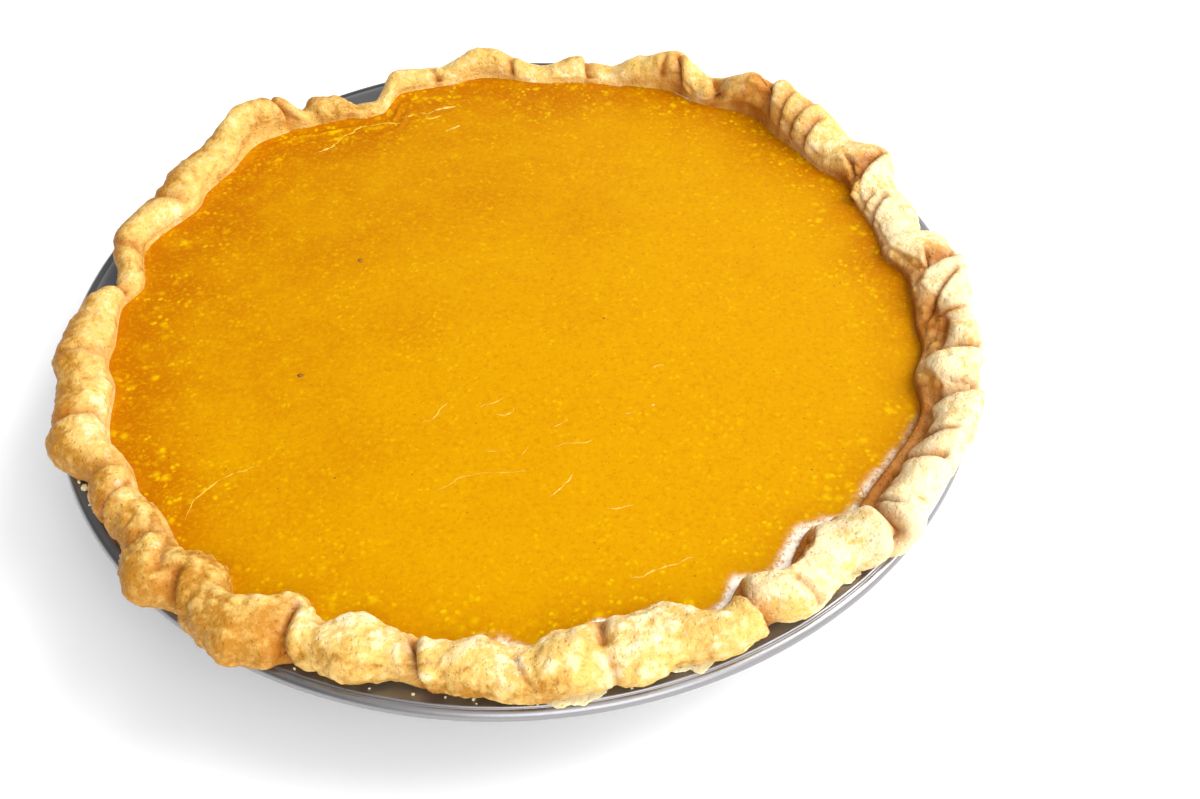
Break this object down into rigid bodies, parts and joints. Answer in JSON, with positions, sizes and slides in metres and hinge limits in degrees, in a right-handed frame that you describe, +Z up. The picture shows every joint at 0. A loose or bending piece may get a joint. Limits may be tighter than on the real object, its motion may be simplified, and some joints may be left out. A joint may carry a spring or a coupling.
{
  "type": "kabocha pie",
  "caption": "Whole baked squash pie in its own round flared metal tin, with a smooth custard filling inside a hand-folded pastry edge that stands above the lip.",
  "frame": {"origin": "centre of the tin's flat underside", "axes": "+Z up through the filling; the picture's camera stands on the -Y side with +X to its right"},
  "size_m": [0.25, 0.25, 0.0489],
  "materials": {
    "tin": "dark grey non-stick coating with a satin sheen, lighter along the rolled edge",
    "crust": "baked shortcrust pastry, cream to golden, matte and finely blistered, browner on the high folds and outer faces",
    "filling": "baked squash custard, golden orange with a satin skin, fine yellow bubbles near the edge and hairline cracks"
  },
  "bodies": {
    "root": {"tin": "tin", "crust": "crust", "filling": "filling"}
  },
  "joints": []
}
